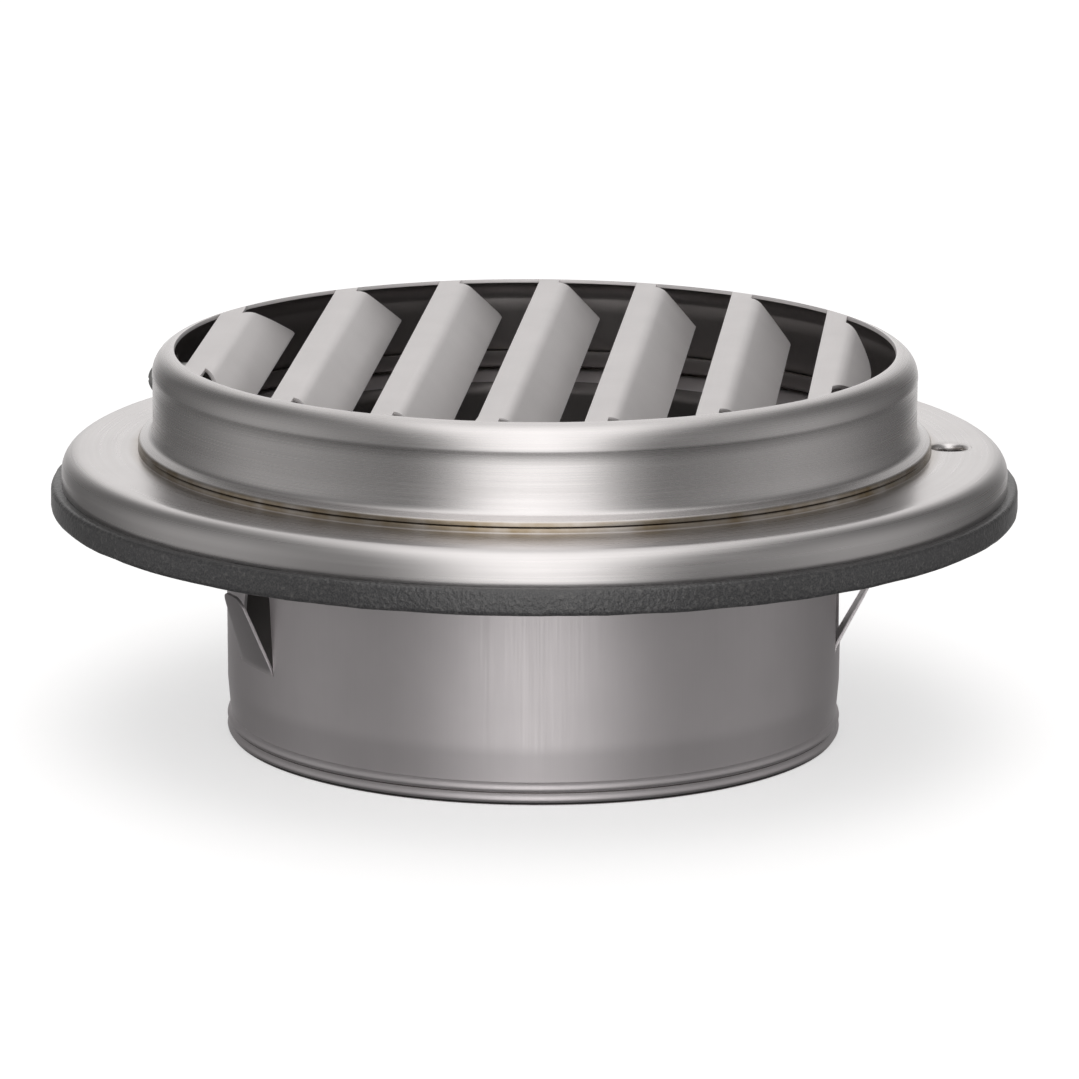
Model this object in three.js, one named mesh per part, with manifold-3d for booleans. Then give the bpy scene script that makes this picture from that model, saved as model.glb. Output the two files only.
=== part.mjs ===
// A round louvred vent cap for a 100 mm air duct, in pressed stainless steel.
//
// The cap lies face up. Its spigot stands on Z = 0, its louvred face is on top, and the middle of the
// spigot's end is the origin. The louvre blades run along Y and slope down towards +X.
// Every size is in millimetres.

import * as THREE from 'three';
import { mergeVertices } from 'three/addons/utils/BufferGeometryUtils.js';
import Module from 'manifold-3d';

const wasm = await Module();
wasm.setup();

// Driving dimensions -------------------------------------------------------------------------------

const gap = 0.3;                      // clearance between pieces that touch on the real cap
const turnSteps = 48;                 // flats round each turned piece

// Spigot, which slides into the duct
const spigotSheet = 0.5;
const spigotTopRadius = 49.8;         // the wall tapers in a little towards its free end
const spigotBodyRadius = 49.55;
const spigotBodyStart = 9;            // below this the wall is drawn in towards the beads
const spigotEndRadius = 49.1;
const beadRise = 0.55;                // how far the two rolled beads stand out of the drawn-in end
const beadHeight = 1.7;
const endLip = 0.2;                   // plain end below the lower bead
const spigotNeckBend = 1.8;           // bend between the wall and the turned-out rim
const spigotRimRadius = 62.8;
const spigotRimTop = 46.75;

// Base flange and gasket
const sheet = 0.6;                    // sheet of the flange and the hood
const flangeRadius = 76.1;
const deckTop = 46.7;
const stepTop = 47.75;                // the deck is stepped up over the spigot's rim
const stepRadius = 63.8;
const flangeEdgeBend = 3.4;
const skirtEnd = 41.3;
const collarRadius = 60.5;            // the upturned collar that the hood is pushed over
const collarTop = 50.1;
const screwHoleRadius = 2.8;
const screwHolePlace = 66.8;
const screwHoleDegrees = 5;           // round from the middle of the +X side
const gasketRadius = 77.8;
const gasketBore = 50.4;
const gasketBottom = 37.1;

// Hood
const hoodRadius = 61.5;
const faceTop = 62.9;
const rimBend = 4.0;
const windowRadius = 57.9;            // edge of the punched louvre field
const footRadius = 63.8;
const footTop = 48.9;
const footBend = 1.8;

// Louvres
const louvreCount = 7;
const louvrePitch = 16.52;
const middleLouvreEdge = -4.16;       // the flat strip edge of the middle louvre
const stripWidth = 3.4;
const bladeBend = 2.5;
const bladeSlope = Math.PI / 4;
const bladeWidth = 9.2;               // developed from the bend line to the free edge
const bladeEndRadius = 55.2;          // blade ends are cut this far out before they are bent
const bladeEndSteps = 8;

// Spring tongues, cut from the spigot's wall and narrower towards their tips
const tongueDegrees = [0, 148, 212];
const tongueRootWidth = 12.0;
const tongueTipWidth = 6.2;
const tongueCorner = 1.8;
const tongueLength = 13.1;
const tongueRoot = 15.0;
const tongueSplays = [27, 19.5, 19.5];  // degrees away from the wall
const windowRootWidth = 12.8;         // the window that each tongue is cut from
const windowTopWidth = 9.0;
const tongueSlit = 0.5;               // clear height above a tongue

// Hood fixing, on the -X side
const fixingHeight = 56.3;
const shankRadius = 1.2;
const fixingHoleRadius = shankRadius + gap;
const headRadius = 2.1;
const headHeight = 0.9;
const bracketSheet = 0.8;
const bracketFace = -59.2;
const bracketTop = 59.6;
const bracketFoot = 6.5;
const bracketWidth = 10;
const nutRadius = 2.9;
const nutLength = 2;

// Solids -------------------------------------------------------------------------------------------

function solidFrom(geometry) {
  const bare = geometry.clone();
  bare.deleteAttribute('normal');
  bare.deleteAttribute('uv');
  const merged = mergeVertices(bare, 1e-4);
  return new wasm.Manifold(new wasm.Mesh({
    numProp: 3,
    vertProperties: merged.attributes.position.array,
    triVerts: Uint32Array.from(merged.index.array),
  }));
}

function geometryFrom(solid) {
  const mesh = solid.getMesh();
  const geometry = new THREE.BufferGeometry();
  geometry.setAttribute('position', new THREE.BufferAttribute(mesh.vertProperties, 3));
  geometry.setIndex(new THREE.BufferAttribute(mesh.triVerts, 1));
  geometry.computeVertexNormals();
  return geometry;
}

// Gives an open line of points the thickness of the sheet, half to each side, and closes it.
function thicken(line, thickness) {
  const offsetBy = (side) => line.map((point, i) => {
    const before = i > 0 ? point.clone().sub(line[i - 1]).normalize() : null;
    const after = i < line.length - 1 ? line[i + 1].clone().sub(point).normalize() : null;
    const normals = [before, after].filter(Boolean).map((way) => new THREE.Vector2(-way.y, way.x));
    const middle = normals[0].clone().add(normals[normals.length - 1]).normalize();
    return point.clone().addScaledVector(middle, side * thickness / 2 / middle.dot(normals[0]));
  });
  return [...offsetBy(1), ...offsetBy(-1).reverse()];
}

// Turns a closed outline of (radius, height) points round the Z axis.
function turned(outline) {
  const loop = THREE.ShapeUtils.isClockWise(outline) ? [...outline].reverse() : [...outline];
  loop.push(loop[0].clone());
  return solidFrom(new THREE.LatheGeometry(loop, turnSteps).rotateX(Math.PI / 2));
}

// Extrudes a shape drawn in X and Z along Y, with its middle at y = 0.
function extrudedAlongY(shape, length) {
  const geometry = new THREE.ExtrudeGeometry(shape, { depth: length, bevelEnabled: false });
  return solidFrom(geometry.translate(0, 0, -length / 2).rotateX(Math.PI / 2));
}

// Extrudes a plan shape upwards from one height to another.
function extrudedUp(shape, bottom, top) {
  const geometry = new THREE.ExtrudeGeometry(shape, { depth: top - bottom, bevelEnabled: false });
  return solidFrom(geometry.translate(0, 0, bottom));
}

// A round bar along X between two places, at the height of the fixing screw.
function barAlongX(radius, from, to, sides = 16) {
  const bar = new THREE.CylinderGeometry(radius, radius, to - from, sides).rotateZ(Math.PI / 2);
  return solidFrom(bar.translate((from + to) / 2, 0, fixingHeight));
}

// Pieces -------------------------------------------------------------------------------------------

// The face's outer ring, the rounded rim, the wall and the foot that flares out on to the flange.
function makeHoodShell() {
  const wall = hoodRadius - sheet / 2;
  const face = faceTop - sheet / 2;
  const foot = footTop - sheet / 2;
  const bend = rimBend - sheet / 2;
  const windowEdge = Math.acos((windowRadius - wall + bend) / bend);
  const path = new THREE.Path();
  path.absarc(wall - bend, face - bend, bend, windowEdge, 0, true);
  path.lineTo(wall, foot + footBend);
  path.absarc(wall + footBend, foot + footBend, footBend, Math.PI, Math.PI * 1.5, false);
  path.lineTo(footRadius, foot);
  const shell = turned(thicken(path.getPoints(3), sheet));
  return shell.subtract(barAlongX(fixingHoleRadius, -hoodRadius - 2, -hoodRadius + 2));
}

function louvreEdge(index) {
  return middleLouvreEdge + louvrePitch * (index - (louvreCount - 1) / 2);
}

// How far a point of the blade lies from the bend line, seen from above, once the blade is bent.
function bentReach(developed) {
  const arcLength = bladeBend * bladeSlope;
  if (developed < arcLength) return bladeBend * Math.sin(developed / bladeBend);
  return bladeBend * Math.sin(bladeSlope) + (developed - arcLength) * Math.cos(bladeSlope);
}

// One louvre: a flat strip across the face and the blade bent down from its +X edge.
function makeLouvre(index) {
  const face = faceTop - sheet / 2;
  const start = louvreEdge(index);
  const bendLine = start + stripWidth;
  const straight = bladeWidth - bladeBend * bladeSlope;
  const section = new THREE.Path();
  section.moveTo(start, face);
  section.lineTo(bendLine, face);
  section.absarc(bendLine, face - bladeBend, bladeBend, Math.PI / 2, Math.PI / 2 - bladeSlope, true);
  const bendEnd = section.currentPoint.clone();
  const down = new THREE.Vector2(Math.cos(bladeSlope), -Math.sin(bladeSlope));
  section.lineTo(bendEnd.x + down.x * straight, bendEnd.y + down.y * straight);
  const bar = extrudedAlongY(new THREE.Shape(thicken(section.getPoints(3), sheet)), 2 * windowRadius);

  const stripEnd = (x) => Math.sqrt((windowRadius - gap) ** 2 - x ** 2);
  const halfPlan = [start, (start + bendLine) / 2, bendLine].map((x) => new THREE.Vector2(x, stripEnd(x)));
  const roomToRim = bladeEndRadius - bendLine - 0.02;
  const developedWidth = Math.min(bladeWidth, roomToRim);
  for (let i = 0; i <= bladeEndSteps; i += 1) {
    const developed = developedWidth * Math.sin((i / bladeEndSteps) * Math.PI / 2);
    const end = Math.sqrt(bladeEndRadius ** 2 - (bendLine + developed) ** 2);
    halfPlan.push(new THREE.Vector2(bendLine + bentReach(developed), end));
  }
  if (bladeWidth < roomToRim) {
    const corner = halfPlan[halfPlan.length - 1];
    halfPlan.push(new THREE.Vector2(corner.x + sheet, corner.y));
  }
  const otherHalf = halfPlan.map((point) => new THREE.Vector2(point.x, -point.y)).reverse();
  const outline = new THREE.Shape([...halfPlan, ...otherHalf]);
  return bar.intersect(extrudedUp(outline, faceTop - 2 * bladeWidth, faceTop + 1));
}

// The collar inside the hood, the step over the spigot's rim, the flat deck, the edge and the skirt.
function makeBaseFlange() {
  const collar = collarRadius - sheet / 2;
  const step = stepTop - sheet / 2;
  const deck = deckTop - sheet / 2;
  const skirt = flangeRadius - sheet / 2;
  const bend = flangeEdgeBend - sheet / 2;
  const path = new THREE.Path();
  path.moveTo(collar, collarTop);
  path.lineTo(collar, step + sheet);
  path.lineTo(collar + sheet, step);
  path.lineTo(stepRadius - sheet / 2, step);
  path.lineTo(stepRadius, step - sheet / 2);
  path.lineTo(stepRadius, deck);
  path.lineTo(skirt - bend, deck);
  path.absarc(skirt - bend, deck - bend, bend, Math.PI / 2, 0, true);
  path.lineTo(skirt, skirtEnd);
  const hole = new THREE.CylinderGeometry(screwHoleRadius, screwHoleRadius, 4, 20).rotateX(Math.PI / 2);
  const ring = turned(thicken(path.getPoints(3), sheet));
  const cutter = solidFrom(hole.translate(screwHolePlace, 0, deckTop));
  return ring.subtract(cutter.rotate([0, 0, screwHoleDegrees]));
}

function makeGasket() {
  const top = skirtEnd - gap;
  const edge = 0.5;
  const outline = [
    [gasketBore, gasketBottom], [gasketRadius - edge, gasketBottom], [gasketRadius, gasketBottom + edge],
    [gasketRadius, top - edge], [gasketRadius - edge, top], [gasketBore, top],
  ];
  return turned(outline.map(([radius, height]) => new THREE.Vector2(radius, height)));
}

// Middle of the spigot's wall at a height above the drawn-in end.
function spigotWallAt(height) {
  const taper = (height - spigotBodyStart) / (spigotRimTop - spigotBodyStart);
  return THREE.MathUtils.lerp(spigotBodyRadius, spigotTopRadius, taper) - spigotSheet / 2;
}

function makeSpigotTube() {
  const rim = spigotRimTop - spigotSheet / 2;
  const end = spigotEndRadius - spigotSheet / 2;
  const neckBottom = rim - spigotNeckBend;
  const neck = spigotWallAt(neckBottom);
  const path = new THREE.Path();
  path.moveTo(end, 0);
  path.lineTo(end, endLip);
  for (const bottom of [endLip, endLip + beadHeight]) {
    path.quadraticCurveTo(end + 2 * beadRise, bottom + beadHeight / 2, end, bottom + beadHeight);
  }
  path.lineTo(spigotWallAt(spigotBodyStart), spigotBodyStart);
  path.lineTo(neck, neckBottom);
  path.absarc(neck + spigotNeckBend, neckBottom, spigotNeckBend, Math.PI, Math.PI / 2, true);
  path.lineTo(spigotRimRadius, rim);
  return turned(thicken(path.getPoints(3), spigotSheet));
}

// A tapered block with two rounded corners through the spigot's wall on the +X side, as high as a
// tongue, with a margin above and below.
function tongueBlock(rootWidth, tipWidth, margin) {
  const root = rootWidth / 2;
  const tip = tipWidth / 2;
  const bottom = tongueRoot - Math.min(margin, gap);
  const top = tongueRoot + tongueLength + margin;
  const shape = new THREE.Shape();
  shape.moveTo(root, bottom);
  shape.lineTo(tip, top - tongueCorner);
  shape.quadraticCurveTo(tip, top, tip - tongueCorner, top);
  shape.lineTo(tongueCorner - tip, top);
  shape.quadraticCurveTo(-tip, top, -tip, top - tongueCorner);
  shape.lineTo(-root, bottom);
  const block = new THREE.ExtrudeGeometry(shape, { depth: 20, bevelEnabled: false, curveSegments: 3 });
  return solidFrom(block.rotateX(Math.PI / 2).rotateZ(Math.PI / 2).translate(spigotTopRadius - 10, 0, 0));
}

function makeSpigot() {
  const cut = tongueBlock(windowRootWidth, windowTopWidth, tongueSlit);
  const windows = tongueDegrees.map((degrees) => cut.rotate([0, 0, degrees]));
  return windows.reduce((tube, window) => tube.subtract(window), makeSpigotTube());
}

// A piece of the spigot's own wall, turned outwards about its lower end.
function makeTongue(degrees, index) {
  const hinge = [spigotWallAt(tongueRoot), 0, tongueRoot];
  return makeSpigotTube().intersect(tongueBlock(tongueRootWidth, tongueTipWidth, 0))
    .translate(hinge.map((place) => -place))
    .rotate([0, tongueSplays[index], 0])
    .translate(hinge)
    .rotate([0, 0, degrees]);
}

// An angle bracket that stands on the spigot's rim, close inside the collar.
function makeBracket() {
  const foot = spigotRimTop + gap + bracketSheet / 2;
  const web = bracketFace + bracketSheet / 2;
  const line = [[web + bracketFoot, foot], [web, foot], [web, bracketTop]];
  const outline = thicken(line.map(([x, z]) => new THREE.Vector2(x, z)), bracketSheet);
  const angle = extrudedAlongY(new THREE.Shape(outline), bracketWidth);
  return angle.subtract(barAlongX(fixingHoleRadius, web - 1, web + 1));
}

function makeNut() {
  const start = bracketFace + bracketSheet + gap;
  const hexagon = barAlongX(nutRadius, start, start + nutLength, 6);
  return hexagon.subtract(barAlongX(fixingHoleRadius, start - 1, start + nutLength + 1));
}

function makeScrew() {
  const headBack = -hoodRadius - gap;
  const shank = barAlongX(shankRadius, headBack, bracketFace + bracketSheet + nutLength + 2 * gap);
  const crown = (headHeight ** 2 + headRadius ** 2) / (2 * headHeight);
  const spread = Math.asin(headRadius / crown);
  const dome = new THREE.Path();
  dome.moveTo(0, 0);
  dome.lineTo(headRadius, 0);
  dome.absarc(0, headHeight - crown, crown, Math.PI / 2 - spread, Math.PI / 2, false);
  const points = dome.getPoints(3);
  points[points.length - 1].x = 0;
  const head = new THREE.LatheGeometry([...points, points[0]], 16).rotateZ(Math.PI / 2);
  return solidFrom(head.translate(headBack, 0, fixingHeight)).add(shank);
}

// Finishes and assembly ----------------------------------------------------------------------------

const steel = (color, roughness) => new THREE.MeshStandardMaterial({ color, roughness, metalness: 1 });
const brushedSteel = () => steel(0xc4bebd, 0.38);
const drawnSteel = () => steel(0xb3adad, 0.32);
const zincSteel = () => steel(0xa9a8a6, 0.45);
const foamRubber = () => new THREE.MeshStandardMaterial({ color: 0x38383b, roughness: 0.9, metalness: 0 });

const cap = new THREE.Group();

function addPiece(name, solid, material) {
  const mesh = new THREE.Mesh(geometryFrom(solid), material);
  mesh.name = name;
  cap.add(mesh);
}

addPiece('hood_shell', makeHoodShell(), brushedSteel());
for (let i = 0; i < louvreCount; i += 1) addPiece(`louvre_${i + 1}`, makeLouvre(i), brushedSteel());
addPiece('base_flange', makeBaseFlange(), brushedSteel());
addPiece('gasket', makeGasket(), foamRubber());
addPiece('spigot', makeSpigot(), drawnSteel());
tongueDegrees.forEach((degrees, i) => {
  addPiece(`spring_tongue_${i + 1}`, makeTongue(degrees, i), drawnSteel());
});
addPiece('fixing_bracket', makeBracket(), zincSteel());
addPiece('clinch_nut', makeNut(), zincSteel());
addPiece('hood_screw', makeScrew(), zincSteel());

export default cap;
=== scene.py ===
# %% [markdown]
# # A round louvred vent cap
#
# The real cap is pressed and spun from thin stainless steel sheet. A louvred hood is pushed over a ring
# flange, the flange sits on a spigot that slides into a 100 mm duct, and a foam gasket lies under the
# flange. Three spring tongues, cut from the spigot's wall, hold the cap in the duct. The CAD frame gives
# every place and size, and this script gives each piece its finished surface.

# %% Load the frame
import math

import bmesh
import bpy
from mathutils import Matrix, Vector


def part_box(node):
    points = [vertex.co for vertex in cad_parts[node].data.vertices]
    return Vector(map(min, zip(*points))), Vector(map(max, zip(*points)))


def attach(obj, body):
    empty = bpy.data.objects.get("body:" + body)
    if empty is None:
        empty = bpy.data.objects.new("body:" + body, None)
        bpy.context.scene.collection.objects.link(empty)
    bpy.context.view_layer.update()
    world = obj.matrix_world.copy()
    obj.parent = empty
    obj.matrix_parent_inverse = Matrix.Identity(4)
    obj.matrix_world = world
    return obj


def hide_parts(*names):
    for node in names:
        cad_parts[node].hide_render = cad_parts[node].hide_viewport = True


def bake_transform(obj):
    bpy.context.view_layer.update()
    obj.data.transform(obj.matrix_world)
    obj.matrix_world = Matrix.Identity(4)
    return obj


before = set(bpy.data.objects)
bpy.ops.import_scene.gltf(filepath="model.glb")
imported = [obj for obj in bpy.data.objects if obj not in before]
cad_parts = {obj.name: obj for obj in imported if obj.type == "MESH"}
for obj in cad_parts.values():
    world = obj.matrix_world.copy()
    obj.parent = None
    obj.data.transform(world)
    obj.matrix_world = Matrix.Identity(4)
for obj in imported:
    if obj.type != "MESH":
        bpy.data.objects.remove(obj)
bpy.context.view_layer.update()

MM = 0.001

# %% [markdown]
# ## Camera
#
# The cap is looked at from a little above, through a long lens, so that its circles stay nearly true. The
# camera could be turned with a constraint, but a matrix built from its own right, up and back axes says
# exactly where it looks.

# %% Place the camera
camera_azimuth = math.radians(4.82)
camera_elevation = math.radians(13.36)
camera_roll = math.radians(0.307)
camera_distance = 1.089
object_middle = Vector((0, 0, 0.02475))

flat = math.cos(camera_elevation)
back = Vector((math.sin(camera_azimuth) * flat, -math.cos(camera_azimuth) * flat, math.sin(camera_elevation)))
right = Vector((math.cos(camera_azimuth), math.sin(camera_azimuth), 0))
place = object_middle + back * camera_distance
aim = object_middle + right * 0.85 * MM + back.cross(right) * 6.2 * MM
forward = (aim - place).normalized()
level = forward.cross(Vector((0, 0, 1))).normalized()
camera_right = level * math.cos(camera_roll) + level.cross(forward) * math.sin(camera_roll)
camera_up = camera_right.cross(forward)

camera_data = bpy.data.cameras.new("product_camera")
camera_data.lens = 224.5
camera_data.sensor_width = 36
camera_data.clip_start = 0.05
camera = bpy.data.objects.new("product_camera", camera_data)
bpy.context.scene.collection.objects.link(camera)
turned_to_aim = Matrix((camera_right, camera_up, -forward)).transposed().to_4x4()
camera.matrix_world = Matrix.Translation(place) @ turned_to_aim
bpy.context.scene.camera = camera
bpy.context.scene.view_settings.view_transform = "Standard"
print("camera stands at", [round(value, 3) for value in place])

# %% [markdown]
# ## Helpers for working by hand
#
# An operator acts on everything that is selected, so each piece starts with nothing selected. Faces and
# points are then picked by where they are, as a person would click on them.

# %% Select and shape


def deselect():
    if bpy.context.mode != "OBJECT":
        bpy.ops.object.mode_set(mode="OBJECT")
    bpy.ops.object.select_all(action="DESELECT")


def name_piece(name):
    piece = bpy.context.object
    piece.name = name
    piece.data.name = name
    return piece


def make_active(piece):
    deselect()
    piece.select_set(True)
    bpy.context.view_layer.objects.active = piece


def middle_of(part):
    if isinstance(part, bmesh.types.BMVert):
        return part.co
    return sum((vertex.co for vertex in part.verts), Vector()) / len(part.verts)


def pick(kind, test):
    """Selects the points, edges or faces whose middle passes a test, given in millimetres."""
    bpy.ops.mesh.select_mode(type=kind)
    bpy.ops.mesh.select_all(action="DESELECT")
    mesh = bmesh.from_edit_mesh(bpy.context.object.data)
    parts = {"VERT": mesh.verts, "EDGE": mesh.edges, "FACE": mesh.faces}[kind]
    picked = 0
    for part in parts:
        if test(middle_of(part) / MM):
            part.select_set(True)
            picked += 1
    bmesh.update_edit_mesh(bpy.context.object.data)
    return picked


def move_points(piece, rule):
    """Moves each point of a piece by a rule that takes and gives a place in millimetres."""
    for vertex in piece.data.vertices:
        vertex.co = rule(vertex.co / MM) * MM
    piece.data.update()


# %% Turn a profile
turn_steps = 192


def arc(centre, radius, start, end, steps=8):
    """Points of an arc in the (radius, height) plane, with its angles in degrees."""
    turns = [math.radians(start + (end - start) * i / steps) for i in range(steps + 1)]
    return [(centre[0] + radius * math.cos(t), centre[1] + radius * math.sin(t)) for t in turns]


def straight(start, end, steps):
    """Points between two places, without the first and with the last."""
    shares = [i / steps for i in range(1, steps + 1)]
    return [tuple(a + (b - a) * share for a, b in zip(start, end)) for share in shares]


def turn(name, line, steps=turn_steps):
    """Draws a line of (radius, height) points by extruding one point, and spins it round the Z axis."""
    deselect()
    bpy.ops.mesh.primitive_plane_add(size=MM)
    piece = name_piece(name)
    bpy.ops.object.mode_set(mode="EDIT")
    bpy.ops.mesh.select_all(action="SELECT")
    bpy.ops.mesh.merge(type="CENTER")
    bpy.ops.transform.translate(value=(line[0][0] * MM, 0, line[0][1] * MM))
    for before, after in zip(line, line[1:]):
        step = ((after[0] - before[0]) * MM, 0, (after[1] - before[1]) * MM)
        bpy.ops.mesh.extrude_region_move(TRANSFORM_OT_translate={"value": step})
    bpy.ops.mesh.select_all(action="SELECT")
    bpy.ops.mesh.spin(steps=steps, angle=math.tau, center=(0, 0, 0), axis=(0, 0, 1))
    bpy.ops.mesh.select_all(action="SELECT")
    bpy.ops.mesh.remove_doubles(threshold=0.005 * MM)
    bpy.ops.mesh.normals_make_consistent(inside=False)
    bpy.ops.object.mode_set(mode="OBJECT")
    print(name, "turned from", len(line), "points:", len(piece.data.polygons), "faces")
    return piece


# %% Finish with modifiers


def apply_modifier(piece, kind, **settings):
    make_active(piece)
    bpy.ops.object.modifier_add(type=kind)
    modifier = piece.modifiers[-1]
    for setting, value in settings.items():
        setattr(modifier, setting, value)
    bpy.ops.object.modifier_apply(modifier=modifier.name)


def thicken(piece, thickness):
    apply_modifier(piece, "SOLIDIFY", thickness=thickness * MM, offset=0, use_even_offset=True)


def round_edges(piece, width, angle=50, segments=2):
    apply_modifier(piece, "BEVEL", width=width * MM, segments=segments, limit_method="ANGLE",
                   angle_limit=math.radians(angle))


def cut(piece, cutter):
    apply_modifier(piece, "BOOLEAN", object=cutter, operation="DIFFERENCE", solver="EXACT")
    bpy.data.objects.remove(cutter)


def smooth(piece, angle=35):
    make_active(piece)
    bpy.ops.object.shade_smooth_by_angle(angle=math.radians(angle))


def round_cutter(radius, depth, place, along="Z", sides=48):
    """A drill for round holes."""
    deselect()
    turned = {"Z": (0, 0, 0), "X": (0, math.pi / 2, 0)}[along]
    bpy.ops.mesh.primitive_cylinder_add(vertices=sides, radius=radius * MM, depth=depth * MM,
                                        location=Vector(place) * MM, rotation=turned)
    bpy.ops.object.transform_apply(location=True, rotation=True, scale=True)
    return name_piece("drill")


# %% [markdown]
# ## Pressed hood
#
# The hood and its seven louvres are one sheet. A press cuts three sides of each louvre, folds the blade
# down by 45 degrees and leaves a flat strip across the face. Modelling a strip and a blade separately
# would leave a seam that the real sheet doesn't have, so the flat disc is cut and bent here in the same
# order as in the press.

# %% Sizes of the hood
hood_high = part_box("hood_shell")[1] / MM
louvre_count = 7
sheet = 0.6
face = hood_high.z - sheet / 2
foot_radius = hood_high.x
wall_radius = foot_radius - 2.3 - sheet / 2
rim_bend = 3.7
window_radius = wall_radius - rim_bend + 0.4
foot_bend = 1.8
foot_height = 48.6
strip_width = 3.4
blade_width = 9.2
blade_bend = 2.5
blade_slope = math.pi / 4
blade_end_radius = 55.2
strip_edges = [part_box(f"louvre_{i + 1}")[0].x / MM for i in range(louvre_count)]
print("strips start at", [round(edge, 2) for edge in strip_edges], "mm")

# %% Draw the flat disc and its bands
disc_steps = 256
deselect()
bpy.ops.mesh.primitive_circle_add(vertices=disc_steps, radius=window_radius * MM, fill_type="NGON",
                                  location=(0, 0, face * MM))
bpy.ops.object.transform_apply(location=True, rotation=True, scale=True)
hood = name_piece("pressed_hood")
bpy.ops.object.mode_set(mode="EDIT")
bpy.ops.mesh.select_all(action="SELECT")
bpy.ops.mesh.inset(thickness=(window_radius - blade_end_radius) * MM, use_even_offset=True)

# %% [markdown]
# The rim, wall and foot are drawn on from the disc's outer edge. Each ring is one extrude followed by a
# resize about the cap's axis. The wall is set in a hair below the rim, where the deeper of the two dies
# ended. The foot slopes out to a small hem that is turned down on to the flange.

# %% Extrude the rim, wall and foot
rim_centre = (wall_radius - rim_bend, face - rim_bend)
rim_start = math.degrees(math.acos((window_radius - rim_centre[0]) / rim_bend))
hood_line = arc(rim_centre, rim_bend, rim_start, 0, 12)[1:]
set_in = wall_radius - 0.08          # where the wall is set in below the rim
hood_line.append((set_in, hood_line[-1][1] - 0.2))
hood_line += straight(hood_line[-1], (set_in, foot_height + foot_bend), 4)
hood_line += arc((wall_radius + foot_bend, foot_height + foot_bend), foot_bend, 180, 245, 8)[1:]
hem_radius = foot_radius - sheet / 2
hem_bend = 0.5
foot_slope = 25
hem_start = math.radians(90 - foot_slope)
slope_length = hem_radius - hem_bend + hem_bend * math.cos(hem_start) - hood_line[-1][0]
slope_drop = slope_length * math.tan(math.radians(foot_slope))
hem_height = hood_line[-1][1] - slope_drop - hem_bend * math.sin(hem_start)
hood_line += arc((hem_radius - hem_bend, hem_height), hem_bend, 90 - foot_slope, 0, 5)
hood_line.append((hem_radius, hem_height - 0.06))

ring_radius, ring_height = window_radius, face
pick("EDGE", lambda at: math.hypot(at.x, at.y) > window_radius - 0.05)
for radius, height in hood_line:
    step = (0, 0, (height - ring_height) * MM)
    bpy.ops.mesh.extrude_region_move(TRANSFORM_OT_translate={"value": step})
    share = radius / ring_radius
    bpy.ops.transform.resize(value=(share, share, 1), center_override=(0, 0, height * MM))
    ring_radius, ring_height = radius, height
print("hood drawn out to", round(ring_radius, 2), "mm at height", round(ring_height, 2))

# %% Slice the disc where the press cuts and bends
bend_length = blade_bend * blade_slope
bend_steps = 6
slices = []
for edge in strip_edges:
    bend_line = edge + strip_width
    slices += [edge, bend_line, bend_line + blade_width]
    slices += [bend_line + bend_length * i / bend_steps for i in range(1, bend_steps + 1)]
for x in slices:
    if abs(x) < window_radius:
        pick("FACE", lambda at: math.hypot(at.x, at.y) < window_radius and at.z > face - 0.01)
        bpy.ops.mesh.bisect(plane_co=(x * MM, 0, face * MM), plane_no=(1, 0, 0))


# %% Take out the punched waste
def is_waste(at):
    radius = math.hypot(at.x, at.y)
    if radius > window_radius - 0.02 or at.z < face - 0.01:
        return False
    owner = max((edge for edge in strip_edges if edge <= at.x), default=None)
    if owner is None:
        return True
    across = at.x - owner
    if across < strip_width:
        return False
    return across > strip_width + blade_width or radius > blade_end_radius - 0.02


print("waste faces:", pick("FACE", is_waste))
bpy.ops.mesh.delete(type="FACE")

# %% Round the corners of the blades
free_edges = [edge + strip_width + blade_width for edge in strip_edges]
blade_corners = [(x, math.sqrt(blade_end_radius**2 - x**2)) for x in free_edges if x < blade_end_radius]
pick("VERT", lambda at: any(math.hypot(at.x - x, abs(at.y) - y) < 0.12 for x, y in blade_corners))
bpy.ops.mesh.bevel(offset=1.1 * MM, affect="VERTICES", segments=4)
bpy.ops.object.mode_set(mode="OBJECT")


# %% Fold the blades down
def fold(at):
    if math.hypot(at.x, at.y) > blade_end_radius + 0.1 or at.z < face - 0.01:
        return at
    for edge in strip_edges:
        developed = at.x - edge - strip_width
        if 0 < developed < blade_width + 0.01:
            bent = min(developed, bend_length)
            beyond = developed - bent
            turned = bent / blade_bend
            reach = blade_bend * math.sin(turned) + beyond * math.cos(blade_slope)
            drop = blade_bend * (1 - math.cos(turned)) + beyond * math.sin(blade_slope)
            return Vector((edge + strip_width + reach, at.y, at.z - drop))
    return at


move_points(hood, fold)
make_active(hood)
bpy.ops.object.mode_set(mode="EDIT")
bpy.ops.mesh.select_all(action="SELECT")
bpy.ops.mesh.normals_make_consistent(inside=False)
bpy.ops.object.mode_set(mode="OBJECT")
thicken(hood, sheet)
screw_low, screw_high = (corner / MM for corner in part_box("hood_screw"))
screw_height = (screw_low.z + screw_high.z) / 2
cut(hood, round_cutter(1.5, 4, (-wall_radius, 0, screw_height), "X"))
round_edges(hood, 0.1)
smooth(hood)
print("hood:", len(hood.data.polygons), "faces")

# %% [markdown]
# ## Spun flange
#
# A lathe worker presses a flat ring over a former, so the flange is a surface of revolution: a collar
# inside the hood, a step over the spigot's rim, a flat deck, and a rolled edge that ends in a skirt.

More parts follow.
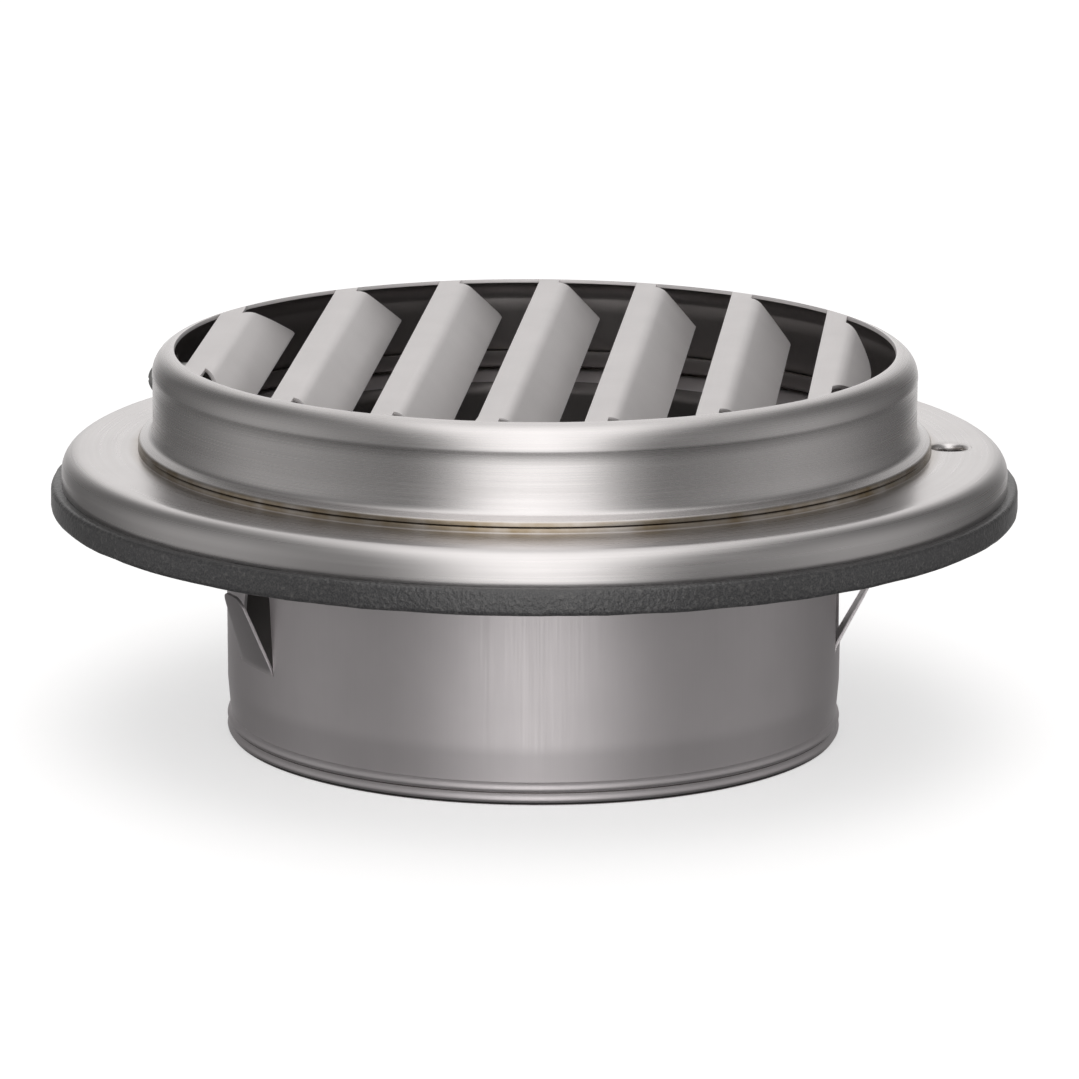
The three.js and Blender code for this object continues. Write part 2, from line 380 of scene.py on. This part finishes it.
# %% Turn the flange
flange_low, flange_high = (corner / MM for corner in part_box("base_flange"))
collar = wall_radius - 1.0
step_height = 47.45
step_radius = 63.5
deck = 46.4
skirt = flange_high.x - sheet / 2
edge_bend = 3.1
flange_line = [(collar, flange_high.z)]
flange_line += arc((collar + 0.6, step_height + 0.6), 0.6, 180, 270, 5)
flange_line += arc((step_radius - 0.4, step_height - 0.4), 0.4, 90, 0, 4)
flange_line += arc((step_radius + 0.35, deck + 0.35), 0.35, 180, 270, 4)
flange_line += straight(flange_line[-1], (skirt - edge_bend, deck), 6)
flange_line += arc((skirt - edge_bend, deck - edge_bend), edge_bend, 90, 0, 12)[1:]
flange_line += straight(flange_line[-1], (skirt, flange_low.z), 2)
flange = turn("spun_flange", flange_line)
thicken(flange, sheet)

# %% Punch the fixing hole
# The punch draws the sheet down into a short lip. The hole is a little way round from the middle of the
# side that the blades slope down to.
lip_radius = 3.0
lip_bend = 0.6
lip_depth = 1.6
hole_distance = 66.8                 # from the cap's axis
hole_turned = math.radians(5)
hole_middle = Vector((hole_distance * math.cos(hole_turned), hole_distance * math.sin(hole_turned), 0))
cut(flange, round_cutter(lip_radius + lip_bend, 6, (hole_middle.x, hole_middle.y, deck)))
lip_line = arc((lip_radius + lip_bend, deck - lip_bend), lip_bend, 90, 180, 6)
lip_line += straight(lip_line[-1], (lip_radius, deck - lip_depth), 2)
lip = turn("drawn_lip", lip_line, 48)
thicken(lip, sheet)
lip.data.transform(Matrix.Translation(hole_middle * MM))
make_active(flange)
lip.select_set(True)
bpy.ops.object.join()
round_edges(flange, 0.1)
smooth(flange)

# %% [markdown]
# ## Foam gasket
#
# The gasket is a soft ring with rounded edges. Foam is never quite even, so a clouds texture pushes its
# skin in and out by a small amount.

# %% Turn the gasket
gasket_low, gasket_high = (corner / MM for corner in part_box("gasket"))
gasket_bore = 50.4
gasket_top = flange_low.z             # the foam is pressed up against the skirt
corner = 0.8
ring = [(gasket_bore, gasket_top), (gasket_bore, gasket_low.z)]
ring += straight(ring[-1], (gasket_high.x - corner, gasket_low.z), 14)
ring += arc((gasket_high.x - corner, gasket_low.z + corner), corner, 270, 360, 5)[1:]
ring += arc((gasket_high.x - corner, gasket_top - corner), corner, 0, 90, 5)
ring += straight(ring[-1], (gasket_bore, gasket_top), 14)
gasket = turn("foam_gasket", ring)
unevenness = bpy.data.textures.new("foam_unevenness", "CLOUDS")
unevenness.noise_scale = 6 * MM
apply_modifier(gasket, "DISPLACE", texture=unevenness, strength=0.25 * MM, texture_coords="LOCAL")
smooth(gasket, 50)

# %% [markdown]
# ## Rolled spigot
#
# The spigot is a tube with two beads rolled into its free end and its top turned out into a flat rim.
# Three windows show where the spring tongues were cut out of the wall.

# %% Turn the spigot
spigot_low, spigot_high = (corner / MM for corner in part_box("spigot"))
wall_sheet = 0.5
end_radius = 49.1 - wall_sheet / 2
body_radius = 49.55 - wall_sheet / 2
body_start = 9.0                     # below this the wall is drawn in towards the beads
top_radius = 49.8 - wall_sheet / 2
bead_height = 1.7
bead_rise = 0.55
end_lip = 0.2
neck_bend = 1.8
rim_height = spigot_high.z - wall_sheet / 2


def wall_at(height):
    return body_radius + (top_radius - body_radius) * (height - body_start) / (spigot_high.z - body_start)


spigot_line = [(end_radius, spigot_low.z), (end_radius, end_lip)]
for bead in range(2):
    for i in range(1, 9):
        swell = math.sin(math.pi * i / 8)
        height = end_lip + bead_height * (bead + i / 8)
        spigot_line.append((end_radius + bead_rise * swell, height))
neck = wall_at(rim_height - neck_bend)
spigot_line += straight(spigot_line[-1], (body_radius, body_start), 5)
spigot_line += straight(spigot_line[-1], (neck, rim_height - neck_bend), 36)
spigot_line += arc((neck + neck_bend, rim_height - neck_bend), neck_bend, 180, 90, 7)[1:]
spigot_line += straight(spigot_line[-1], (spigot_high.x, rim_height), 3)
spigot = turn("rolled_spigot", spigot_line, 384)
thicken(spigot, wall_sheet)

# %% Cut the three windows
tongue_count = 3
tongue_root = 15.0
tongue_length = 13.1
root_width = 12.0
tip_width = 6.2
tip_corner = 1.8
window_root_width = 12.8
window_top_width = 9.0
slit = 0.5


def tongue_azimuth(number):
    low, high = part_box(f"spring_tongue_{number}")
    middle = (low + high) / 2
    return math.atan2(middle.y, middle.x)


def window_cutter(azimuth):
    """A tapered punch with two rounded corners, standing across the wall."""
    deselect()
    bpy.ops.mesh.primitive_plane_add(size=1 * MM)
    punch = name_piece("window_punch")
    half_root, half_tip = window_root_width / 2, window_top_width / 2
    top = tongue_root + tongue_length + slit
    corners = {(-1, -1): (-half_root, tongue_root), (1, -1): (half_root, tongue_root),
               (-1, 1): (-half_tip, top), (1, 1): (half_tip, top)}
    for vertex in punch.data.vertices:
        side = (1 if vertex.co.x > 0 else -1, 1 if vertex.co.y > 0 else -1)
        across, height = corners[side]
        vertex.co = Vector((44, across, height)) * MM
    bpy.ops.object.mode_set(mode="EDIT")
    pick("VERT", lambda at: at.z > top - 1)
    bpy.ops.mesh.bevel(offset=tip_corner * MM, affect="VERTICES", segments=5)
    bpy.ops.mesh.select_all(action="SELECT")
    bpy.ops.mesh.extrude_region_move(TRANSFORM_OT_translate={"value": (10 * MM, 0, 0)})
    bpy.ops.mesh.select_all(action="SELECT")
    bpy.ops.mesh.normals_make_consistent(inside=False)
    bpy.ops.object.mode_set(mode="OBJECT")
    punch.data.transform(Matrix.Rotation(azimuth, 4, "Z"))
    return punch


azimuths = [tongue_azimuth(number + 1) for number in range(tongue_count)]
for azimuth in azimuths:
    cut(spigot, window_cutter(azimuth))
print("windows at", [round(math.degrees(azimuth)) for azimuth in azimuths], "degrees")


# %% Press in the wall beside each window
dent_depth = 0.45
dent_reach = 4.5


def dented(at):
    """The punch drags the wall in beside a window, most at the top."""
    up = (at.z - tongue_root) / tongue_length
    if not 0 < up < 1.5 or math.hypot(at.x, at.y) > top_radius + 1:
        return at
    strength = up if up <= 1 else max(0, 1 - 2 * (up - 1))
    reach = dent_reach * min(up, 1)
    for azimuth in azimuths:
        turned = math.remainder(math.atan2(at.y, at.x) - azimuth, math.tau)
        window_edge = (window_root_width + (window_top_width - window_root_width) * min(up, 1)) / 2
        beside = max(0, abs(turned) * top_radius - window_edge)
        if beside < reach:
            depth = dent_depth * strength * (1 - beside / reach) ** 2
            share = 1 - depth / math.hypot(at.x, at.y)
            return Vector((at.x * share, at.y * share, at.z))
    return at


move_points(spigot, dented)
round_edges(spigot, 0.06)
smooth(spigot)

# %% [markdown]
# ## Spring tongues
#
# Each tongue is a strip of the spigot's own wall, bent outwards at its root. It is springy, but here it
# rides on no body and keeps the lean that it is drawn with.

# %% Shape one tongue
# The tongues have been handled, so each one leans out by its own amount.
tongue_splays = [math.radians(degrees) for degrees in (27, 19.5, 19.5)]
root_bend = 3.0
tuck = 0.3


def tongue_path(along, splay):
    """How far out and how high the middle of the tongue is, this far from its root."""
    start = (wall_at(tongue_root), tongue_root)
    if along <= 0:
        return start[0], start[1] + along
    steps = 40
    out, high = start
    for i in range(steps):
        done = along * (i + 0.5) / steps
        lean = min(done / root_bend, splay)
        out += math.sin(lean) * along / steps
        high += math.cos(lean) * along / steps
    return out, high


def half_width(along):
    width = root_width + (tip_width - root_width) * max(0, along) / tongue_length
    into_corner = along - (tongue_length - tip_corner)
    if into_corner <= 0:
        return width / 2
    return width / 2 - tip_corner + math.sqrt(max(0, tip_corner**2 - into_corner**2))


def make_tongue(number, azimuth, splay):
    deselect()
    bpy.ops.mesh.primitive_grid_add(x_subdivisions=10, y_subdivisions=40, size=2)
    piece = name_piece(f"sprung_tongue_{number}")
    for vertex in piece.data.vertices:
        share = (vertex.co.y + 1) / 2
        along = -tuck + (tongue_length + tuck) * (1 - (1 - share) ** 1.6)
        across = vertex.co.x * half_width(along)
        out, high = tongue_path(along, splay)
        sagitta = top_radius - math.sqrt(top_radius**2 - across**2)
        vertex.co = Vector((out - sagitta, across, high)) * MM
    piece.data.transform(Matrix.Rotation(azimuth, 4, "Z"))
    piece.data.update()
    thicken(piece, wall_sheet * 0.96)
    round_edges(piece, 0.06)
    smooth(piece)
    return piece


tongues = [make_tongue(i + 1, *shape) for i, shape in enumerate(zip(azimuths, tongue_splays))]
tips = [round(tongue_path(tongue_length, splay)[0], 2) for splay in tongue_splays]
print("tongue tips stand out to", tips, "mm")

# %% [markdown]
# ## Screw, bracket and nut
#
# One screw goes through the hood's wall into a nut on an angle bracket. They are small plated fittings,
# mostly hidden, but they are seen from the left and through the louvres.

# %% Turn the screw and cut its cross recess
head_radius = (screw_high.z - screw_low.z) / 2
head_height = 0.9
shank_radius = 1.2
shank_length = screw_high.x - screw_low.x - head_height
crown = (head_height**2 + head_radius**2) / (2 * head_height)
spread = math.degrees(math.asin(head_radius / crown))
screw_line = arc((0, head_height - crown), crown, 90, 90 - spread, 10)
screw_line[0] = (0, head_height)
screw_line += [(head_radius, 0), (shank_radius, 0)]
screw_line += straight((shank_radius, 0), (shank_radius, -shank_length + 0.4), 6)
screw_line += [(shank_radius - 0.4, -shank_length), (0, -shank_length)]
screw = turn("hood_fixing_screw", screw_line, 48)
for turned in (0, math.pi / 2):
    deselect()
    bpy.ops.mesh.primitive_cube_add(size=1, location=(0, 0, head_height * MM), rotation=(0, 0, turned))
    recess = name_piece("recess")
    recess.scale = Vector((2.4, 0.5, 1.0)) * MM
    bpy.ops.object.transform_apply(location=True, rotation=True, scale=True)
    cut(screw, recess)
screw.data.transform(Matrix.Rotation(-math.pi / 2, 4, "Y"))
screw.data.transform(Matrix.Translation(Vector((screw_low.x + head_height, 0, screw_height)) * MM))
round_edges(screw, 0.05)
smooth(screw)

# %% Fold the bracket
bracket_low, bracket_high = (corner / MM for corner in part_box("fixing_bracket"))
bracket_sheet = 0.8
bracket_bend = 1.0
web = bracket_low.x + bracket_sheet / 2
bracket_foot = bracket_low.z + bracket_sheet / 2
bracket_line = [(bracket_high.x, bracket_foot)]
bracket_line += arc((web + bracket_bend, bracket_foot + bracket_bend), bracket_bend, 270, 180, 6)
bracket_line.append((web, bracket_high.z))
deselect()
bpy.ops.mesh.primitive_plane_add(size=MM)
bracket = name_piece("hood_bracket")
bpy.ops.object.mode_set(mode="EDIT")
bpy.ops.mesh.select_all(action="SELECT")
bpy.ops.mesh.merge(type="CENTER")
bpy.ops.transform.translate(value=(bracket_line[0][0] * MM, bracket_low.y * MM, bracket_line[0][1] * MM))
for before, after in zip(bracket_line, bracket_line[1:]):
    step = ((after[0] - before[0]) * MM, 0, (after[1] - before[1]) * MM)
    bpy.ops.mesh.extrude_region_move(TRANSFORM_OT_translate={"value": step})
bpy.ops.mesh.select_all(action="SELECT")
across = (bracket_high.y - bracket_low.y) * MM
bpy.ops.mesh.extrude_region_move(TRANSFORM_OT_translate={"value": (0, across, 0)})
pick("VERT", lambda at: at.z > bracket_high.z - 0.1 or at.x > bracket_high.x - 0.1)
bpy.ops.mesh.bevel(offset=1.6 * MM, affect="VERTICES", segments=5)
bpy.ops.object.mode_set(mode="OBJECT")
thicken(bracket, bracket_sheet)
cut(bracket, round_cutter(1.5, 4, (web, 0, screw_height), "X"))
round_edges(bracket, 0.08)
smooth(bracket)

# %% Chamfer the nut
nut_low, nut_high = (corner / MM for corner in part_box("clinch_nut"))
nut_middle = (nut_low + nut_high) / 2
nut_depth = nut_high.x - nut_low.x
deselect()
bpy.ops.mesh.primitive_cylinder_add(vertices=6, radius=(nut_high.z - nut_low.z) / 2 * MM,
                                    depth=nut_depth * MM, location=nut_middle * MM,
                                    rotation=(0, math.pi / 2, 0))
bpy.ops.object.transform_apply(location=True, rotation=True, scale=True)
nut = name_piece("bracket_nut")
cut(nut, round_cutter(1.5, nut_depth + 2, nut_middle, "X"))
round_edges(nut, 0.2)
smooth(nut)

# %% [markdown]
# ## Finishes
#
# Bare steel has hardly any colour of its own. What is seen is how evenly it shines, so most of each
# finish is in its roughness and in fine lines of bump. Patterns read Object coordinates, which are metres
# on the cap, so one unit of a noise is a real distance.

# %% Helpers for finishes


def add_node(tree, kind, settings=None, inputs=None):
    node = tree.nodes.new(kind)
    for name, value in (settings or {}).items():
        setattr(node, name, value)
    for name, value in (inputs or {}).items():
        node.inputs[name].default_value = value
    return node


def start_finish(name, metallic, roughness):
    material = bpy.data.materials.new(name)
    material.use_nodes = True
    shader = material.node_tree.nodes["Principled BSDF"]
    shader.inputs["Metallic"].default_value = metallic
    shader.inputs["Roughness"].default_value = roughness
    return material, material.node_tree, shader


def noise_at(tree, coordinates, scale, detail=2.0):
    node = add_node(tree, "ShaderNodeTexNoise", None, {"Scale": scale, "Detail": detail})
    tree.links.new(coordinates, node.inputs["Vector"])
    return node.outputs["Fac"]


def spread_to(tree, value, low, high, from_low=0.3, from_high=0.7):
    """Maps a noise's useful middle on to a range."""
    node = add_node(tree, "ShaderNodeMapRange", None,
                    {"From Min": from_low, "From Max": from_high, "To Min": low, "To Max": high})
    tree.links.new(value, node.inputs["Value"])
    return node.outputs["Result"]


def mix_colours(tree, factor, first, second):
    node = add_node(tree, "ShaderNodeMix", {"data_type": "RGBA"})
    tree.links.new(factor, node.inputs["Factor"])
    for socket, value in ((node.inputs[6], first), (node.inputs[7], second)):
        if isinstance(value, tuple):
            socket.default_value = (*value, 1)
        else:
            tree.links.new(value, socket)
    return node.outputs[2]


def stretched(tree, coordinates, scale, turned=0.0):
    node = add_node(tree, "ShaderNodeMapping", None, {"Scale": scale, "Rotation": (0, 0, turned)})
    tree.links.new(coordinates, node.inputs["Vector"])
    return node.outputs["Vector"]


def away_from_axis(tree, coordinates):
    flat_way = add_node(tree, "ShaderNodeVectorMath", {"operation": "MULTIPLY"})
    flat_way.inputs[1].default_value = (1, 1, 0)
    tree.links.new(coordinates, flat_way.inputs[0])
    return flat_way.outputs["Vector"]


def radius_of(tree, coordinates):
    length = add_node(tree, "ShaderNodeVectorMath", {"operation": "LENGTH"})
    tree.links.new(away_from_axis(tree, coordinates), length.inputs[0])
    return length.outputs["Value"]


def round_the_axis(tree, coordinates, lines, along):
    """Coordinates that change fast round the axis and slowly up it, with no seam."""
    unit = add_node(tree, "ShaderNodeVectorMath", {"operation": "NORMALIZE"})
    tree.links.new(away_from_axis(tree, coordinates), unit.inputs[0])
    fast = add_node(tree, "ShaderNodeVectorMath", {"operation": "SCALE"}, {"Scale": lines})
    tree.links.new(unit.outputs["Vector"], fast.inputs[0])
    slow = add_node(tree, "ShaderNodeVectorMath", {"operation": "MULTIPLY"})
    slow.inputs[1].default_value = (0, 0, along)
    tree.links.new(coordinates, slow.inputs[0])
    both = add_node(tree, "ShaderNodeVectorMath", {"operation": "ADD"})
    tree.links.new(fast.outputs["Vector"], both.inputs[0])
    tree.links.new(slow.outputs["Vector"], both.inputs[1])
    return both.outputs["Vector"]


def turned_lines(tree, coordinates):
    """Coordinates that change fast with radius and height, and slowly round the axis."""
    height = add_node(tree, "ShaderNodeSeparateXYZ")
    tree.links.new(coordinates, height.inputs[0])
    slow = round_the_axis(tree, coordinates, 1.5, 0)
    fast = add_node(tree, "ShaderNodeCombineXYZ")
    tree.links.new(radius_of(tree, coordinates), fast.inputs["X"])
    tree.links.new(height.outputs["Z"], fast.inputs["Y"])
    fine = add_node(tree, "ShaderNodeVectorMath", {"operation": "SCALE"}, {"Scale": 2500})
    tree.links.new(fast.outputs["Vector"], fine.inputs[0])
    both = add_node(tree, "ShaderNodeVectorMath", {"operation": "ADD"})
    tree.links.new(fine.outputs["Vector"], both.inputs[0])
    tree.links.new(slow, both.inputs[1])
    return both.outputs["Vector"]


# %% [markdown]
# The sheet steel has fine lines left by rolling and polishing. On the louvres they run straight across, on
# the hood's wall and the flange they run round the axis, and on the spigot the drawing die pulls them
# upright. Inner faces get a dull, dark steel colour, which is painted shade for the inside of the cap.

# %% Make the steels


def make_steel(name, colour, roughness, lines="straight", anisotropy=0.0, grime_and_shade=None, metallic=1.0):
    material, tree, shader = start_finish(name, metallic, roughness)
    coordinates = add_node(tree, "ShaderNodeTexCoord").outputs["Object"]
    if lines == "straight":
        grain = noise_at(tree, stretched(tree, coordinates, (6000, 120, 120), math.radians(38)), 1.0)
    elif lines == "round":
        grain = noise_at(tree, turned_lines(tree, coordinates), 1.0, 3.0)
    else:
        grain = noise_at(tree, round_the_axis(tree, coordinates, 260, 60), 1.0, 3.0)
    blotches = noise_at(tree, coordinates, 90, 3.0)
    dull = tuple(value * 0.95 for value in colour)
    shade = mix_colours(tree, spread_to(tree, blotches, 0, 1), dull, colour)
    if grime_and_shade is not None:
        # Painted shade and grime: the brown colour darkens the crease where shade falls, as well as its dirt.
        shade = mix_colours(tree, grime_and_shade(tree, coordinates), shade, (0.30, 0.23, 0.14))
    tree.links.new(shade, shader.inputs["Base Color"])
    tree.links.new(spread_to(tree, grain, roughness - 0.03, roughness + 0.04), shader.inputs["Roughness"])
    bump = add_node(tree, "ShaderNodeBump", None, {"Strength": 0.05, "Distance": 0.00005})
    tree.links.new(grain, bump.inputs["Height"])
    tree.links.new(bump.outputs["Normal"], shader.inputs["Normal"])
    if anisotropy:
        shader.inputs["Anisotropic"].default_value = anisotropy
        shader.inputs["Anisotropic Rotation"].default_value = 0.25
        tangent = add_node(tree, "ShaderNodeTangent", {"direction_type": "RADIAL", "axis": "Z"})
        tree.links.new(tangent.outputs["Tangent"], shader.inputs["Tangent"])
    return material


def crease_grime_and_shade(radius, width, low, high, strength):
    """Painted shade and grime in the crease: all of it between two heights, and fading outwards on the deck.
    """
    def build(tree, coordinates):
        parts = add_node(tree, "ShaderNodeSeparateXYZ")
        tree.links.new(coordinates, parts.inputs[0])
        start, end = radius * MM, (radius + width) * MM
        near = spread_to(tree, radius_of(tree, coordinates), strength, 0, start, end)
        above = spread_to(tree, parts.outputs["Z"], 0, 1, low * MM, (low + 0.15) * MM)
        below = spread_to(tree, parts.outputs["Z"], 1, 0, high * MM, (high + 0.25) * MM)
        band = add_node(tree, "ShaderNodeMath", {"operation": "MULTIPLY"})
        tree.links.new(above, band.inputs[0])
        tree.links.new(below, band.inputs[1])
        most = add_node(tree, "ShaderNodeMath", {"operation": "MAXIMUM"})
        tree.links.new(near, most.inputs[0])
        tree.links.new(band.outputs["Value"], most.inputs[1])
        broken = spread_to(tree, noise_at(tree, coordinates, 220, 4.0), 0.45, 1)
        both = add_node(tree, "ShaderNodeMath", {"operation": "MULTIPLY", "use_clamp": True})
        tree.links.new(most.outputs["Value"], both.inputs[0])
        tree.links.new(broken, both.inputs[1])
        return both.outputs["Value"]
    return build


steel_colour = (0.72, 0.70, 0.695)
# Painted shade and grime: a brown darkening where the hood's foot meets the flange's step.
flange_grime_and_shade = crease_grime_and_shade(63.9, 1.6, 46.78, 47.8, 0.45)
hood_grime_and_shade = crease_grime_and_shade(90, 1, 46.9, 48.3, 0)         # only between the heights
hood_steel = make_steel("brushed_hood_steel", steel_colour, 0.27, "round", 0.45, hood_grime_and_shade)
# The louvres keep the mill's satin skin, which scatters light evenly like paint.
louvre_steel = make_steel("rolled_louvre_steel", (0.84, 0.815, 0.81), 0.5, "straight", metallic=0.5)
flange_steel = make_steel("spun_flange_steel", steel_colour, 0.29, "round", 0.1, flange_grime_and_shade)
spigot_steel = make_steel("drawn_spigot_steel", (0.80, 0.765, 0.775), 0.5, "upright")
# Painted shade: the inner faces get a dark steel colour that stands in for the shade inside the cap.
shaded_inner_steel = make_steel("painted_shade_inner_steel", (0.21, 0.198, 0.194), 0.45, "upright")
plated_steel = make_steel("zinc_plated_steel", (0.60, 0.60, 0.59), 0.42, "upright")

# %% [markdown]
# Foam rubber is matt and nearly black, with a grey speckle of open cells and dust.

# %% Make the foam rubber


def make_foam():
    material, tree, shader = start_finish("foam_rubber_skin", 0.0, 0.35)
    shader.inputs["Specular IOR Level"].default_value = 1.0
    coordinates = add_node(tree, "ShaderNodeTexCoord").outputs["Object"]
    cells = noise_at(tree, coordinates, 4200, 2.0)
    dust = noise_at(tree, coordinates, 1500, 4.0)
    open_cells = spread_to(tree, cells, 0, 1, 0.4, 0.62)
    speckled = mix_colours(tree, open_cells, (0.02, 0.02, 0.022), (0.05, 0.049, 0.049))
    dusty = mix_colours(tree, spread_to(tree, dust, 0, 0.6, 0.55, 0.78), speckled, (0.13, 0.125, 0.12))
    tree.links.new(dusty, shader.inputs["Base Color"])
    bump = add_node(tree, "ShaderNodeBump", None, {"Strength": 0.6, "Distance": 0.0003})
    tree.links.new(dust, bump.inputs["Height"])
    tree.links.new(bump.outputs["Normal"], shader.inputs["Normal"])
    return material


foam = make_foam()

# %% [markdown]
# ## Join the pieces to the frame
#
# Each piece takes its finish and hides the CAD nodes that it stands for, and all but the tongues ride on a
# body.

# %% Ride and replace


def finish_faces(piece, number, material, test):
    """Gives another finish to the faces whose middle, in millimetres, and normal pass a test."""
    piece.data.materials.append(material)
    count = 0
    for polygon in piece.data.polygons:
        if test(polygon.center / MM, polygon.normal):
            polygon.material_index = number
            count += 1
    print(piece.name, "has", count, "faces in", material.name)


def looks_inwards(at, normal):
    outwards = Vector((at.x, at.y, 0)).normalized()
    return normal.dot(outwards) < -0.2 or normal.z < -0.5


def settle(piece, material, nodes, body="cap"):
    piece.data.materials.clear()
    piece.data.materials.append(material)
    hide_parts(*nodes)
    if body is not None:
        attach(piece, body)


hood_nodes = ["hood_shell"] + [f"louvre_{i + 1}" for i in range(louvre_count)]
settle(hood, hood_steel, hood_nodes)
settle(flange, flange_steel, ["base_flange"])
settle(gasket, foam, ["gasket"])
settle(spigot, spigot_steel, ["spigot"])
finish_faces(hood, 1, louvre_steel, lambda at, normal: math.hypot(at.x, at.y) < window_radius)
# Painted shade on the hood's inward faces behind the rim.
finish_faces(hood, 2, shaded_inner_steel,
             lambda at, normal: math.hypot(at.x, at.y) > window_radius and looks_inwards(at, normal))
# Painted shade on the inward faces of the flange and the spigot.
for piece in (flange, spigot):
    finish_faces(piece, 1, shaded_inner_steel,
                 lambda at, normal: math.hypot(at.x, at.y) < collar + 1 and looks_inwards(at, normal))
settle(screw, plated_steel, ["hood_screw"])
settle(bracket, plated_steel, ["fixing_bracket"])
settle(nut, plated_steel, ["clinch_nut"])
for number, (piece, azimuth) in enumerate(zip(tongues, azimuths), 1):
    settle(piece, spigot_steel, [f"spring_tongue_{number}"], None)
    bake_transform(piece)

# %% [markdown]
# ## Floor and light
#
# Polished metal shows what stands round it more than it shows light falling on it. The room here is one
# long soft light that runs from in front of the cap, over it and down behind it, weaker behind and with
# darker sides. That gives a bright stripe down the middle of each round wall and darker flanks.

# %% Lay the floor
deselect()
bpy.ops.mesh.primitive_plane_add(size=8)
floor = name_piece("pale_floor")
floor_paint = bpy.data.materials.new("pale_floor_paint")
floor_paint.use_nodes = True
floor_shader = floor_paint.node_tree.nodes["Principled BSDF"]
floor_shader.inputs["Base Color"].default_value = (0.85, 0.85, 0.85, 1)
floor_shader.inputs["Roughness"].default_value = 0.9
floor_shader.inputs["Emission Color"].default_value = (1, 1, 1, 1)
floor_shader.inputs["Emission Strength"].default_value = 0.55
floor.data.materials.append(floor_paint)
floor.visible_glossy = False

# %% Light the room
world = bpy.data.worlds.new("soft_room")
bpy.context.scene.world = world
world.use_nodes = True
room = world.node_tree
room.nodes.clear()
way = add_node(room, "ShaderNodeTexCoord").outputs["Generated"]
turned_way = stretched(room, way, (1, 1, 1), -camera_azimuth)
parts = add_node(room, "ShaderNodeSeparateXYZ")
room.links.new(turned_way, parts.inputs[0])
sideways = add_node(room, "ShaderNodeMath", {"operation": "ABSOLUTE"})
room.links.new(parts.outputs["X"], sideways.inputs[0])
ramp = add_node(room, "ShaderNodeValToRGB")
stops = [(0.0, 0.95), (0.24, 0.8), (0.42, 0.3), (0.58, 0.12), (0.8, 0.17), (1.0, 0.26)]
while len(ramp.color_ramp.elements) < len(stops):
    ramp.color_ramp.elements.new(0.5)
for element, (position, value) in zip(ramp.color_ramp.elements, stops):
    element.position = position
    element.color = (value, value * 0.985, value * 0.98, 1)
room.links.new(sideways.outputs["Value"], ramp.inputs["Fac"])
above = spread_to(room, parts.outputs["Z"], 0.04, 1, -0.55, -0.3)
lit = mix_colours(room, above, (0.02, 0.02, 0.02), ramp.outputs["Color"])
behind = spread_to(room, parts.outputs["Y"], 0, 1, 0.0, 0.5)
dimmer = add_node(room, "ShaderNodeVectorMath", {"operation": "SCALE"}, {"Scale": 0.62})
room.links.new(lit, dimmer.inputs[0])
shaded = mix_colours(room, behind, lit, dimmer.outputs["Vector"])
soft_light = add_node(room, "ShaderNodeBackground", None, {"Strength": 1.6})
room.links.new(shaded, soft_light.inputs["Color"])
backdrop = add_node(room, "ShaderNodeBackground", None, {"Color": (1, 1, 1, 1), "Strength": 1.0})
seen = add_node(room, "ShaderNodeLightPath")
choose = add_node(room, "ShaderNodeMixShader")
room.links.new(seen.outputs["Is Camera Ray"], choose.inputs["Fac"])
room.links.new(soft_light.outputs["Background"], choose.inputs[1])
room.links.new(backdrop.outputs["Background"], choose.inputs[2])
end = add_node(room, "ShaderNodeOutputWorld")
room.links.new(choose.outputs["Shader"], end.inputs["Surface"])
